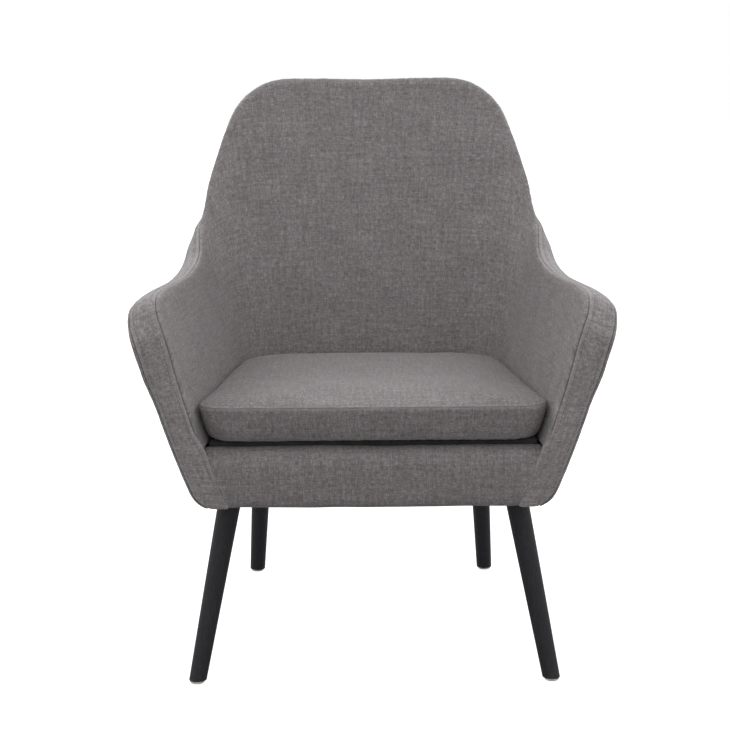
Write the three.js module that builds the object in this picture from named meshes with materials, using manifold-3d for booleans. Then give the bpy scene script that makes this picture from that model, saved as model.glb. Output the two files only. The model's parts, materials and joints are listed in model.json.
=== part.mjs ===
// Upholstered armchair: a padded plywood shell that forms the back and both arms, a wooden seat
// frame with elastic webbing inside it, a loose seat cushion and four splayed tapered legs.
// Millimetres, +Z up, the chair faces -Y, and the origin is on the floor under its middle.
import * as THREE from 'three';
import { mergeVertices } from 'three/addons/utils/BufferGeometryUtils.js';
import Module from 'manifold-3d';

const wasm = await Module();
wasm.setup();

// ---------------------------------------------------------------- driving dimensions
const FRONT_TO_MIDDLE = 372.8; // from the front line, where y is 0 below, to the chair's middle
const GAP = 0.3; // between pieces that touch
const BAND_GAP = 2; // between the edge band and the twisting edge of the wall
const SHELL_BOTTOM = 275; // lower edge of the upholstered shell
const SEAT_LEVEL = 420; // height of the middle guide of the shell
const WALL = 45; // padded wall, measured level
const PLYWOOD = 8;
const OUTER_FOAM = 12;
const BAND = 9.5; // how far the edge band stands past the edge of the wall
const BAND_CROWN = 4; // extra height in the middle of the band
const BAND_BEVEL = 3; // bevel of its two long corners
const FRAME_BOTTOM = 278;
const FRAME_INNER = -17; // inner face of the rails, measured from the wall's inner face
const FRAME_CLEAR = 2.2; // between the rails and the plywood
const DECK_FRONT = 359; // top of the front rail
const DECK_SLOPE = 0.056; // the seat falls towards the back
const DECK_FRONT_Y = 52; // front face of the front rail
const FRONT_RAIL = 26; // thickness of the front rail
const STRAP = 1.6; // thickness of the webbing
const STRAP_WIDTH = 50;
const STRAP_GAP = 0.4; // under each layer of straps
const DECK_LIFT = 2 * (STRAP + STRAP_GAP) + 0.6; // underside of the seat deck above the rails
const DECK_PAD = 10;
const LEG_TOP = 276.2;
const LEG_TOP_RADIUS = 17.5;
const LEG_FOOT_RADIUS = 13;
const GLIDE_HEIGHT = 4;
const BOLT_RADIUS = 4;
const CUSHION_FRONT_Y = 20;
const CUSHION_BACK_Y = 545;
const CUSHION_FRONT_HALF = 258;
const CUSHION_BACK_HALF = 214;
const CUSHION_EDGE = 52.5; // height of the boxed edge up to the top seam
const CUSHION_CROWN = 16; // rise of the middle above the top seam
const CUSHION_BACK_RADIUS = 85;
const CUSHION_FRONT_RADIUS = 34;
const CUSHION_FRONT_BOW = 2; // how far the middle of the front stands past the corners
const CUSHION_CLEAR = 1; // between the cushion and the seat deck

// Guides of the wall's inner face: half of each, from the middle of the back to the front edge
// of the arm, as x, y from the front line, and z. The other half is its mirror image.
const RIM = [
  [0, 685, 850], [98, 683, 852], [167, 678, 848], [216, 660, 813], [245, 640, 755],
  [269, 615, 683], [279, 580, 620], [277, 510, 574], [282, 380, 565], [292, 245, 572],
  [303, 132, 580], [307, 61, 579], [303, 34, 556], [290, 28, 515],
];
const MIDDLE = [
  [0, 560], [85, 559], [145, 553], [183, 540], [206, 520], [220, 493], [229, 455],
  [234, 405], [240, 320], [247, 220], [255, 130], [260, 75], [263, 45], [264, 26],
];
const BOTTOM = [
  [0, 528], [85, 527], [140, 522], [172, 510], [190, 488], [199, 455], [203, 415],
  [206, 360], [206, 280], [207, 200], [208, 130], [210, 85], [210, 55], [211, 32],
];
const STATIONS = RIM.length - 1; // on each side of the middle
const STEPS = 2; // facets between two stations
const ROWS = 8; // facets from the seat to the rim
// The wall is pulled thinner where the arms turn into the back, and is thicker at the arm fronts.
const NECK_STATION = 5.9;
const NECK_SPREAD = 1.8;
const NECK_THINNING = 17;
const ARM_FRONT_WIDENING = 5;
const WIDENING_START = 9.5; // station
const WIDENING_END = 12.5;
// Above the seat the wall leans out more and more, and its edge stays square to it, so each layer
// falls by this slope towards the outer side at the rim.
const EDGE_FALL = 0.45;
const STEADY_STATION = 12.2; // from here to the arm front, the direction through the wall is held

// The pads and the edge band are made in three lengths, which meet where the arms turn into
// the back, this many stations to each side of the middle.
const SPLIT_STATION = 5.5;
const SPLIT_TRIM = 0.006; // what each length lacks there, as a share of a facet

// Leg axes where they meet the frame and the floor, on the right-hand side
const LEGS = {
  front: { top: [214.7, 105.6], foot: [267.4, 43] },
  rear: { top: [182.8, 502.5], foot: [201.2, 591] },
};
const SIDES = { left: -1, right: 1 };

// ---------------------------------------------------------------- materials
const material = (name, color, roughness, metalness = 0) =>
  new THREE.MeshStandardMaterial({ name, color, roughness, metalness });
const MATERIALS = {
  fabric: () => material('woven_fabric', 0x7c7878, 0.95),
  plywood: () => material('plywood', 0xb58c5a, 0.7),
  timber: () => material('frame_timber', 0xc9a877, 0.75),
  webbing: () => material('webbing', 0x2c2b2d, 0.8),
  lining: () => material('lining', 0x222124, 0.95),
  stained: () => material('stained_wood', 0x2f2c30, 0.5),
  steel: () => material('zinc_steel', 0xb4b6b8, 0.35, 1),
  plastic: () => material('pale_plastic', 0xdedbd4, 0.5),
};

const chair = new THREE.Group();
chair.position.y = -FRONT_TO_MIDDLE;

function add(name, geometry, finish) {
  const mesh = new THREE.Mesh(geometry, MATERIALS[finish]());
  mesh.name = name;
  chair.add(mesh);
  return mesh;
}

// ---------------------------------------------------------------- solids
// A closed solid through a row of rings with the same number of points. Each end is closed by
// a ladder of quads between the two halves of its ring. The second half of each ring runs back
// along the first, so its quads are split the other way, and nested layers stay parallel. From
// the middle ring on, the quads are split as the mirror image of those before it.
function loft(rings, middle = (rings.length - 1) / 2) {
  const count = rings[0].length;
  const positions = rings.flat().flatMap((point) => point.toArray());
  const index = [];
  const quad = (a, b, c, d, otherWay = false) => {
    if (otherWay) index.push(a, b, d, b, c, d);
    else index.push(a, b, c, a, c, d);
  };
  for (let ring = 0; ring < rings.length - 1; ring += 1) {
    for (let i = 0; i < count; i += 1) {
      const next = (i + 1) % count;
      const here = ring * count;
      const there = here + count;
      const otherWay = (i >= count / 2) !== (ring >= middle);
      quad(here + i, here + next, there + next, there + i, otherWay);
    }
  }
  const last = (rings.length - 1) * count;
  for (let i = 0; i < count / 2 - 1; i += 1) {
    const mirror = count - 1 - i;
    quad(mirror, mirror - 1, i + 1, i);
    quad(last + i, last + i + 1, last + mirror - 1, last + mirror, true);
  }
  const geometry = new THREE.BufferGeometry();
  geometry.setAttribute('position', new THREE.Float32BufferAttribute(positions, 3));
  geometry.setIndex(index);
  return facingOut(geometry);
}

function signedVolume(geometry) {
  const position = geometry.getAttribute('position');
  const index = geometry.getIndex();
  const corner = [0, 1, 2].map(() => new THREE.Vector3());
  let volume = 0;
  for (let i = 0; i < index.count; i += 3) {
    corner.forEach((point, k) => point.fromBufferAttribute(position, index.getX(i + k)));
    volume += corner[0].dot(corner[1].clone().cross(corner[2])) / 6;
  }
  return volume;
}

function facingOut(geometry) {
  if (signedVolume(geometry) < 0) {
    geometry.setIndex(Array.from(geometry.getIndex().array).reverse());
  }
  return geometry;
}

function toManifold(geometry) {
  const bare = geometry.clone();
  bare.deleteAttribute('normal');
  bare.deleteAttribute('uv');
  const merged = mergeVertices(bare, 1e-3);
  return new wasm.Manifold(new wasm.Mesh({
    numProp: 3,
    vertProperties: new Float32Array(merged.getAttribute('position').array),
    triVerts: new Uint32Array(merged.getIndex().array),
  }));
}

function fromManifold(solid) {
  const mesh = solid.getMesh();
  const geometry = new THREE.BufferGeometry();
  geometry.setAttribute('position', new THREE.Float32BufferAttribute(mesh.vertProperties, 3));
  geometry.setIndex(Array.from(mesh.triVerts));
  return geometry;
}

const cut = (geometry, ...tools) => fromManifold(
  tools.reduce((solid, tool) => solid.subtract(toManifold(tool)), toManifold(geometry)),
);

// ---------------------------------------------------------------- the wall of the shell
const bothSides = (half) => [
  ...half.slice(1).reverse().map(([x, y, z]) => new THREE.Vector3(-x, y, z)),
  ...half.map(([x, y, z]) => new THREE.Vector3(x, y, z)),
];
const atHeight = (half, z) => half.map(([x, y]) => [x, y, z]);
const guide = (half) => new THREE.CatmullRomCurve3(bothSides(half), false, 'catmullrom', 0.5);
const rimGuide = guide(RIM);
const middleGuide = guide(atHeight(MIDDLE, SEAT_LEVEL));
const bottomGuide = guide(atHeight(BOTTOM, SHELL_BOTTOM));

const alongOf = (station) => 0.5 + station / (2 * STATIONS);
const deckHeight = (y) => DECK_FRONT - DECK_SLOPE * (y - DECK_FRONT_Y);

// Inner face of the wall at a share of the way round (0 left arm, 1 right arm) and a height
function innerFace(along, z) {
  const low = bottomGuide.getPoint(along);
  const middle = middleGuide.getPoint(along);
  const high = rimGuide.getPoint(along);
  const weight = (a, b, c) => ((z - b) * (z - c)) / ((a - b) * (a - c));
  const point = new THREE.Vector3()
    .addScaledVector(low, weight(low.z, middle.z, high.z))
    .addScaledVector(middle, weight(middle.z, low.z, high.z))
    .addScaledVector(high, weight(high.z, low.z, middle.z));
  return point.setZ(z);
}

// Level direction that points out of the wall's outer face, held steady at the arm fronts
function outward(along, z) {
  const step = 1e-3;
  const held = THREE.MathUtils.clamp(along, alongOf(-STEADY_STATION), alongOf(STEADY_STATION));
  const before = innerFace(held - step, z);
  const after = innerFace(held + step, z);
  const tangent = after.sub(before);
  return new THREE.Vector3(-tangent.y, tangent.x, 0).normalize();
}

// Direction through the wall: level at the seat, square to the leaning wall at the rim
function acrossWall(along, z) {
  const top = rimGuide.getPoint(along).z;
  const fall = EDGE_FALL * THREE.MathUtils.smoothstep(z, SEAT_LEVEL, top);
  return outward(along, z).setZ(-fall);
}

const wallPoint = (along, z, depth) => innerFace(along, z).addScaledVector(acrossWall(along, z), depth);

function wallThickness(along, z) {
  const station = Math.abs(along - 0.5) * 2 * STATIONS;
  const top = rimGuide.getPoint(along).z;
  const height = THREE.MathUtils.smoothstep((z - SHELL_BOTTOM) / (top - SHELL_BOTTOM), 0.3, 1);
  const neck = Math.exp(-(((station - NECK_STATION) / NECK_SPREAD) ** 2));
  const widening = ARM_FRONT_WIDENING * THREE.MathUtils.smoothstep(station, WIDENING_START, WIDENING_END);
  return WALL - NECK_THINNING * neck * height + widening;
}

const columns = Array.from({ length: 2 * STATIONS * STEPS + 1 }, (_, i) => i / (2 * STATIONS * STEPS));

// Heights of the wall's rows in one column: the lower edge, the seat, then up to the rim
function rowHeights(along, lowest) {
  const seat = deckHeight(innerFace(along, DECK_FRONT).y) + DECK_LIFT;
  const rim = rimGuide.getPoint(along).z;
  const upper = Array.from({ length: ROWS + 1 }, (_, i) => seat + ((rim - seat) * i) / ROWS);
  return lowest === null ? upper : [lowest, ...upper];
}

// Rings of one layer of the wall, between two depths that follow the wall's thickness
function wallRings(near, far, lowest) {
  return columns.map((along) => {
    const heights = rowHeights(along, lowest);
    const side = (depth) => heights.map((z) => wallPoint(along, z, depth(wallThickness(along, z))));
    return [...side(near), ...side(far).reverse()];
  });
}

// Adds a row of rings in three lengths, each pulled back a little where it meets the next
function addInLengths(nameOf, rings, finish) {
  const end = rings.length - 1;
  const middle = end / 2;
  const half = SPLIT_STATION * STEPS;
  const lengths = {
    arm_left: [0, middle - half], back: [middle - half, middle + half], arm_right: [middle + half, end],
  };
  const pulledBack = (ring, inner) => ring.map((point, i) => point.clone().lerp(inner[i], SPLIT_TRIM));
  for (const [length, [first, last]] of Object.entries(lengths)) {
    const part = rings.slice(first, last + 1);
    if (first > 0) part[0] = pulledBack(part[0], part[1]);
    if (last < end) part.push(pulledBack(part.pop(), rings[last - 1]));
    add(nameOf(length), loft(part, middle - first), finish);
  }
}

function addWall() {
  const plyFar = (wall) => wall - OUTER_FOAM - GAP;
  const plyNear = (wall) => plyFar(wall) - PLYWOOD;
  const innerFar = (wall) => plyNear(wall) - GAP;
  const outerNear = (wall) => wall - OUTER_FOAM;
  addInLengths((length) => `inner_${length}_pad`, wallRings(() => 0, innerFar, null), 'fabric');
  add('plywood_shell', loft(wallRings(plyNear, plyFar, FRAME_BOTTOM)), 'plywood');
  const outerRings = wallRings(outerNear, (wall) => wall, SHELL_BOTTOM);
  addInLengths((length) => `outer_${length}_pad`, outerRings, 'fabric');
}

// The edge of the wall as [along, z] from the foot of one arm front to the foot of the other
function edgePath() {
  const front = rowHeights(1, SHELL_BOTTOM).slice(0, -1);
  return [
    ...front.map((z) => [0, z]),
    ...columns.map((along) => [along, rimGuide.getPoint(along).z]),
    ...front.reverse().map((z) => [1, z]),
  ];
}

function addEdgeBand() {
  const path = edgePath();
  const points = path.map(([along, z]) => wallPoint(along, z, 0));
  const rings = path.map(([along, z], i) => {
    const ahead = points[Math.min(i + 1, points.length - 1)];
    const behind = points[Math.max(i - 1, 0)];
    const run = ahead.clone().sub(behind);
    const across = acrossWall(along, z);
    const past = run.cross(across).normalize();
    const wall = wallThickness(along, z);
    if (z === SHELL_BOTTOM) past.setZ(0).normalize();
    const shoulder = BAND - BAND_BEVEL;
    const section = [
      [0, BAND_GAP], [0, shoulder], [BAND_BEVEL, BAND], [wall / 2, BAND + BAND_CROWN],
      [wall - BAND_BEVEL, BAND], [wall, shoulder], [wall, BAND_GAP], [wall / 2, BAND_GAP],
    ];
    return section.map(([depth, height]) => points[i].clone()
      .addScaledVector(across, depth)
      .addScaledVector(past, height));
  });
  addInLengths((length) => `edge_band_${length}`, rings.map(ladderOrder), 'fabric');
}

// Starts the ring halfway along its flat side, so that its end ladder doesn't cross itself
const ladderOrder = (ring) => [...ring.slice(-1), ...ring.slice(0, -1)];

// ---------------------------------------------------------------- seat frame
// A piece of the frame that follows the shell between two stations
function framePiece(fromStation, toStation, inner, tools = []) {
  const trim = 0.008;
  const count = Math.max(2, Math.round((toStation - fromStation) * STEPS));
  const rings = [];
  for (let i = 0; i <= count; i += 1) {
    const station = THREE.MathUtils.lerp(fromStation + trim, toStation - trim, i / count);
    const along = alongOf(station);
    const outer = WALL - OUTER_FOAM - PLYWOOD - FRAME_CLEAR;
    const top = (depth) => {
      const y = wallPoint(along, DECK_FRONT, depth).y;
      return wallPoint(along, deckHeight(y), depth);
    };
    rings.push([
      wallPoint(along, FRAME_BOTTOM, inner), top(inner), top(outer),
      wallPoint(along, FRAME_BOTTOM, outer),
    ]);
  }
  const solid = loft(rings);
  return tools.length ? cut(solid, ...tools) : solid;
}

// A bar with slanted ends that lies across the chair, as wide at each height as the inner face
function crossBar(front, thickness, low, high, clearance) {
  const halfAt = (z) => {
    const share = (z - SHELL_BOTTOM) / (SEAT_LEVEL - SHELL_BOTTOM);
    return THREE.MathUtils.lerp(BOTTOM[12][0], MIDDLE[12][0], share) + clearance;
  };
  const face = (y) => [
    new THREE.Vector3(-halfAt(low), y, low), new THREE.Vector3(-halfAt(high), y, high),
    new THREE.Vector3(halfAt(high), y, high), new THREE.Vector3(halfAt(low), y, low),
  ];
  return loft([face(front), face(front + thickness)]);
}

function addFrame() {
  const innerClear = FRAME_INNER - 2.5;
  add('front_rail', crossBar(DECK_FRONT_Y, FRONT_RAIL, FRAME_BOTTOM, DECK_FRONT - 2, innerClear), 'timber');
  add('rear_rail', framePiece(-2, 2, FRAME_INNER), 'timber');
  for (const [side, sign] of Object.entries(SIDES)) {
    const ends = (a, b) => (sign > 0 ? [a, b] : [-b, -a]);
    const frontBore = [insertBore('front', sign)];
    const rearBore = [insertBore('rear', sign)];
    add(`${side}_rail`, framePiece(...ends(7, 11.6), FRAME_INNER, frontBore), 'timber');
    add(`rear_corner_block_${side}`, framePiece(...ends(2, 7), FRAME_INNER - 8, rearBore), 'timber');
    add(`front_corner_block_${side}`, frontCornerBlock(sign), 'timber');
  }
}

// Triangular brace between the front rail and a side rail
function frontCornerBlock(sign) {
  const low = 290;
  const high = 342;
  const leg = 56;
  const tip = 8; // width of the cut-off point beside the side rail
  const ring = (z) => {
    const share = (z - SHELL_BOTTOM) / (SEAT_LEVEL - SHELL_BOTTOM);
    const wall = THREE.MathUtils.lerp(BOTTOM[10][0], MIDDLE[10][0], share);
    const x = wall + FRAME_INNER - 3;
    const y = DECK_FRONT_Y + FRONT_RAIL + GAP;
    return [[x, y], [x, y + leg], [x - tip, y + leg], [x - leg, y]]
      .map(([px, py]) => new THREE.Vector3(sign * px, py, z));
  };
  return loft([ring(low), ring(high)]);
}

// ---------------------------------------------------------------- webbing and seat deck
// A thin strip that lies on the sloping deck, lift above the top of the rails
function deckStrip(width, length, x, y, lift) {
  const strip = new THREE.BoxGeometry(width, length, STRAP);
  strip.rotateX(-Math.atan(DECK_SLOPE));
  return strip.translate(x, y, deckHeight(y) + lift + STRAP / 2);
}

function addWebbing() {
  const backEnd = 552; // over the rear rail
  const frontEnd = DECK_FRONT_Y + 3;
  [-120, -40, 40, 120].forEach((x, i) => {
    const strip = deckStrip(STRAP_WIDTH, backEnd - frontEnd, x, (backEnd + frontEnd) / 2, STRAP_GAP);
    add(`webbing_lengthwise_${i + 1}`, strip, 'webbing');
  });
  const sideInset = 14; // from the inner face of the wall at the front
  const sideTaper = 0.04; // the seat narrows towards the back
  [165, 290, 415].forEach((y, i) => {
    const half = wallPoint(1, DECK_FRONT, 0).x - sideInset - sideTaper * y;
    const strip = deckStrip(2 * half, STRAP_WIDTH, 0, y, 2 * STRAP_GAP + STRAP);
    add(`webbing_crosswise_${i + 1}`, strip, 'webbing');
  });
}

function addDeckPad() {
  const frontStation = 11.9;
  const inset = -1.5; // clear of the inner pad
  const facets = 48;
  const trail = [];
  for (let i = 0; i <= facets; i += 1) {
    const along = alongOf(THREE.MathUtils.lerp(-frontStation, frontStation, i / facets));
    const level = deckHeight(wallPoint(along, DECK_FRONT, inset).y);
    trail.push(wallPoint(along, level, inset));
  }
  const ring = (above) => trail.map((point) => point.clone().setZ(deckHeight(point.y) + above));
  add('seat_deck_pad', loft([ring(DECK_LIFT), ring(DECK_LIFT + DECK_PAD)].map(evenRing)), 'lining');
}

// Drops the middle point of an odd ring, because a ladder needs an even number
const evenRing = (ring) => (ring.length % 2 ? ring.filter((_, i) => i !== (ring.length - 1) / 2) : ring);

// ---------------------------------------------------------------- apron and dust cover
function addApron() {
  const frontFace = 13;
  const round = 7;
  const low = SHELL_BOTTOM;
  const high = DECK_FRONT + 12;
  const sideGap = 1.6; // to the edge band at each end
  const half = (z) => {
    const share = (z - SHELL_BOTTOM) / (SEAT_LEVEL - SHELL_BOTTOM);
    return THREE.MathUtils.lerp(BOTTOM[13][0], MIDDLE[13][0], share) - sideGap;
  };
  const face = (y, inset) => [low + inset, high - inset].flatMap((z, i) => {
    const width = half(z) - inset;
    const ends = [new THREE.Vector3(-width, y, z), new THREE.Vector3(width, y, z)];
    return i ? ends.reverse() : ends;
  });
  const rings = [[frontFace, round], [frontFace + 2, 2], [frontFace + round, 0], [DECK_FRONT_Y - GAP, 0]];
  add('front_apron_pad', loft(rings.map(([y, inset]) => face(y, inset))), 'fabric');
}

function addDustCover() {
  const thickness = 1.2;
  const top = FRAME_BOTTOM - GAP;
  const edge = 12; // depth of its edge in the wall
  const frontStation = 12;
  const facets = 47;
  const boltHole = 9.5;
  const trail = [];
  for (let i = 0; i <= facets; i += 1) {
    const along = alongOf(THREE.MathUtils.lerp(-frontStation, frontStation, i / facets));
    trail.push(wallPoint(along, SHELL_BOTTOM, edge));
  }
  const ring = (z) => trail.map((point) => point.clone().setZ(z));
  const drill = () => new THREE.CylinderGeometry(boltHole, boltHole, 30, 16);
  const holes = Object.keys(LEGS).flatMap((place) => Object.values(SIDES)
    .map((sign) => alongLegAxis(place, sign, drill(), 0)));
  add('dust_cover', cut(loft([ring(top - thickness), ring(top)]), ...holes), 'lining');
}

// ---------------------------------------------------------------- legs and their fittings
function legAxis(place, sign) {
  const { top, foot } = LEGS[place];
  const head = new THREE.Vector3(sign * top[0], top[1], LEG_TOP);
  const toe = new THREE.Vector3(sign * foot[0], foot[1], 0);
  return { head, up: head.clone().sub(toe).normalize(), length: head.distanceTo(toe) };
}

// Turns a shape made along +Y to lie along the leg, its origin offset from the leg's head
function alongLegAxis(place, sign, geometry, offset) {
  const { head, up } = legAxis(place, sign);
  const turn = new THREE.Quaternion().setFromUnitVectors(new THREE.Vector3(0, 1, 0), up);
  const spot = head.clone().addScaledVector(up, offset);
  return geometry.applyQuaternion(turn).translate(spot.x, spot.y, spot.z);
}

const INSERT = { radius: 6, length: 17, flange: 8.5, flangeHeight: 1.6, low: 3.4 };
const BOLT_IN_LEG = 36;
const BOLT_IN_FRAME = 22;

function insertBore(place, sign) {
  const start = -8; // below the underside of the frame
  const step = INSERT.low + INSERT.flangeHeight + 0.4; // top of the recess for the flange
  const end = 26;
  const bore = new THREE.LatheGeometry([
    new THREE.Vector2(0, start), new THREE.Vector2(INSERT.flange + GAP, start),
    new THREE.Vector2(INSERT.flange + GAP, step), new THREE.Vector2(INSERT.radius + GAP, step),
    new THREE.Vector2(INSERT.radius + GAP, end), new THREE.Vector2(0, end),
  ], 20);
  return alongLegAxis(place, sign, bore, 0);
}

function addLeg(place, side, sign) {
  const { length } = legAxis(place, sign);
  const spare = 12; // past both ends, before the level cuts
  const profile = [
    new THREE.Vector2(0, -length - spare), new THREE.Vector2(LEG_FOOT_RADIUS, -length - spare),
    new THREE.Vector2(LEG_FOOT_RADIUS, -length), new THREE.Vector2(LEG_TOP_RADIUS, 0),
    new THREE.Vector2(LEG_TOP_RADIUS, spare), new THREE.Vector2(0, spare),
  ];
  const round = alongLegAxis(place, sign, new THREE.LatheGeometry(profile, 28), 0);
  const slab = new THREE.BoxGeometry(2000, 2000, LEG_TOP - GLIDE_HEIGHT - GAP);
  slab.translate(0, 0, (LEG_TOP + GLIDE_HEIGHT + GAP) / 2);
  const bore = alongLegAxis(place, sign, new THREE.CylinderGeometry(
    BOLT_RADIUS + GAP, BOLT_RADIUS + GAP, 2 * BOLT_IN_LEG + 4, 16), 0);
  const body = toManifold(round).intersect(toManifold(slab)).subtract(toManifold(bore));
  add(`leg_${place}_${side}`, fromManifold(body), 'stained');
}

function addLegFittings(place, side, sign) {
  const bolt = new THREE.LatheGeometry([
    new THREE.Vector2(0, -BOLT_IN_LEG), new THREE.Vector2(BOLT_RADIUS, -BOLT_IN_LEG + 5),
    new THREE.Vector2(BOLT_RADIUS, BOLT_IN_FRAME - 1), new THREE.Vector2(BOLT_RADIUS - 1, BOLT_IN_FRAME),
    new THREE.Vector2(0, BOLT_IN_FRAME),
  ], 14);
  add(`hanger_bolt_${place}_${side}`, alongLegAxis(place, sign, bolt, 0), 'steel');
  const { low } = INSERT;
  const bore = BOLT_RADIUS + GAP;
  const insert = new THREE.LatheGeometry([
    new THREE.Vector2(bore, low), new THREE.Vector2(INSERT.flange, low),
    new THREE.Vector2(INSERT.flange, low + INSERT.flangeHeight),
    new THREE.Vector2(INSERT.radius, low + INSERT.flangeHeight),
    new THREE.Vector2(INSERT.radius, low + INSERT.length),
    new THREE.Vector2(bore, low + INSERT.length), new THREE.Vector2(bore, low),
  ], 20);
  add(`insert_nut_${place}_${side}`, alongLegAxis(place, sign, insert, 0), 'steel');
  const glide = new THREE.LatheGeometry([
    new THREE.Vector2(0, 0), new THREE.Vector2(9.5, 0), new THREE.Vector2(11, 1.2),
    new THREE.Vector2(11, GLIDE_HEIGHT), new THREE.Vector2(0, GLIDE_HEIGHT),
  ], 28);
  const { foot } = LEGS[place];
  glide.rotateX(Math.PI / 2).translate(sign * foot[0], foot[1], 0);
  add(`foot_glide_${place}_${side}`, glide, 'plastic');
}

function addLegs() {
  for (const place of Object.keys(LEGS)) {
    for (const [side, sign] of Object.entries(SIDES)) {
      addLeg(place, side, sign);
      addLegFittings(place, side, sign);
    }
  }
}

// ---------------------------------------------------------------- loose seat cushion
// Half outline of the cushion at its top seam, from the middle of the back to the middle of
// the front: a straight back, a round back corner, a straight side and a round front corner
function cushionOutline() {
  const backCentre = CUSHION_BACK_HALF - CUSHION_BACK_RADIUS;
  const frontCentre = CUSHION_FRONT_HALF - CUSHION_FRONT_RADIUS;
  const foremost = CUSHION_FRONT_Y - CUSHION_FRONT_BOW;
  const half = [new THREE.Vector2(0, CUSHION_BACK_Y)];
  const arc = (x, y, radius, from, to, count) => {
    for (let i = 0; i <= count; i += 1) {
      const turn = THREE.MathUtils.degToRad(THREE.MathUtils.lerp(from, to, i / count));
      half.push(new THREE.Vector2(x + radius * Math.cos(turn), y + radius * Math.sin(turn)));
    }
  };
  half.push(new THREE.Vector2(backCentre / 2, CUSHION_BACK_Y));
  arc(backCentre, CUSHION_BACK_Y - CUSHION_BACK_RADIUS, CUSHION_BACK_RADIUS, 90, 6, 6);
  half.push(new THREE.Vector2(CUSHION_BACK_HALF + 14, CUSHION_BACK_Y - 210));
  half.push(new THREE.Vector2(CUSHION_FRONT_HALF - 17, CUSHION_FRONT_Y + 170));
  arc(frontCentre, CUSHION_FRONT_Y + CUSHION_FRONT_RADIUS, CUSHION_FRONT_RADIUS, 0, -90, 5);
  half.push(new THREE.Vector2(frontCentre / 2, foremost));
  half.push(new THREE.Vector2(0, foremost));
  return half;
}

function addCushion() {
  const half = cushionOutline();
  const middleY = (CUSHION_FRONT_Y + CUSHION_BACK_Y) / 2;
  const halfLength = (CUSHION_BACK_Y - CUSHION_FRONT_Y) / 2;
  const ring = ([inset, above]) => {
    const scaleX = (CUSHION_FRONT_HALF - inset) / CUSHION_FRONT_HALF;
    const scaleY = (halfLength - inset) / halfLength;
    const place = ({ x, y }, sign) => {
      const py = middleY + (y - middleY) * scaleY;
      const deck = deckHeight(py) + DECK_LIFT + DECK_PAD + CUSHION_CLEAR;
      return new THREE.Vector3(sign * x * scaleX, py, deck + above);
    };
    const right = half.slice(1, -1).map((point) => place(point, 1));
    const left = half.slice(1, -1).map((point) => place(point, -1)).reverse();
    return [...right, ...left];
  };
  const top = CUSHION_EDGE + CUSHION_CROWN;
  const rings = [
    [24, 0], [17, 3], [8, 20], [1, CUSHION_EDGE - 8], [0, CUSHION_EDGE], [14, CUSHION_EDGE + 6],
    [60, top - 4], [120, top],
  ];
  add('seat_cushion', loft(rings.map(ring)), 'fabric');
}

addWall();
addEdgeBand();
addFrame();
addWebbing();
addDeckPad();
addApron();
addDustCover();
addLegs();
addCushion();

export default chair;
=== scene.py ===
"""Upholstered armchair: fabric covers, loose cushion, seams, materials and studio around the CAD frame.
Metres, +Z up, the chair faces -Y and stands on the floor at z 0."""
import json
import math

import bmesh
import bpy
import numpy as np
from mathutils import Matrix, Vector, noise
from mathutils.bvhtree import BVHTree


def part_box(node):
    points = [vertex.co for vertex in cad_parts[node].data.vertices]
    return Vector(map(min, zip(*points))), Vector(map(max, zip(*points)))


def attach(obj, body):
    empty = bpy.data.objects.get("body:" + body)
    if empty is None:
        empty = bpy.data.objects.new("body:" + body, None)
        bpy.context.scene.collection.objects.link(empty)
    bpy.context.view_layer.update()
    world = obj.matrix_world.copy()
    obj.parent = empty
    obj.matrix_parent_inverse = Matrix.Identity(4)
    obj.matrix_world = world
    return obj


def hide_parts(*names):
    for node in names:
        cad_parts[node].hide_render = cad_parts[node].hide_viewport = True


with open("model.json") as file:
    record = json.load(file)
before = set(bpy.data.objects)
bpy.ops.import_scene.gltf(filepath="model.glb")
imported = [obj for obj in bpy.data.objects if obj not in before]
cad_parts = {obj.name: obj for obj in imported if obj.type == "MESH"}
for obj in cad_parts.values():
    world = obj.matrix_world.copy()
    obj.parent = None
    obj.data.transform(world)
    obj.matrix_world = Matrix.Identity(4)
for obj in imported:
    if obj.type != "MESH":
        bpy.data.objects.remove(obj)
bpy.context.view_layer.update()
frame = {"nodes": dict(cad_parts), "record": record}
NODES = frame["nodes"]
MM = 0.001


def middle_of(node):
    low, high = (np.array(corner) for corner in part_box(node))
    return (low + high) / 2


# ---------------- driving sizes
# Guides of the wall's inner face, as in the CAD model: half of each, from the middle of the back
# to the front edge of the arm, in mm, y measured from the front line of the CAD model.
RIM = [
    (0, 685, 850), (98, 683, 852), (167, 678, 848), (216, 660, 813), (245, 640, 755),
    (269, 615, 683), (279, 580, 620), (277, 510, 574), (282, 380, 565), (292, 245, 572),
    (303, 132, 580), (307, 61, 579), (303, 34, 556), (290, 28, 515),
]
MIDDLE = [
    (0, 560), (85, 559), (145, 553), (183, 540), (206, 520), (220, 493), (229, 455),
    (234, 405), (240, 320), (247, 220), (255, 130), (260, 75), (263, 45), (264, 26),
]
BOTTOM = [
    (0, 528), (85, 527), (140, 522), (172, 510), (190, 488), (199, 455), (203, 415),
    (206, 360), (206, 280), (207, 200), (208, 130), (210, 85), (210, 55), (211, 32),
]
FRONT_FOOT_Y = 43 * MM  # middle of the front feet, from the front line
FRONT_LINE = middle_of("foot_glide_front_right")[1] - FRONT_FOOT_Y
SHELL_BOTTOM = 275 * MM
SEAT_LEVEL = 420 * MM
WALL = 45 * MM
OUTER_PAD = 12 * MM
PLY_AND_GAPS = 20.6 * MM  # outer pad and plywood, from the wall's outer face to the inner pad
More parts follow.
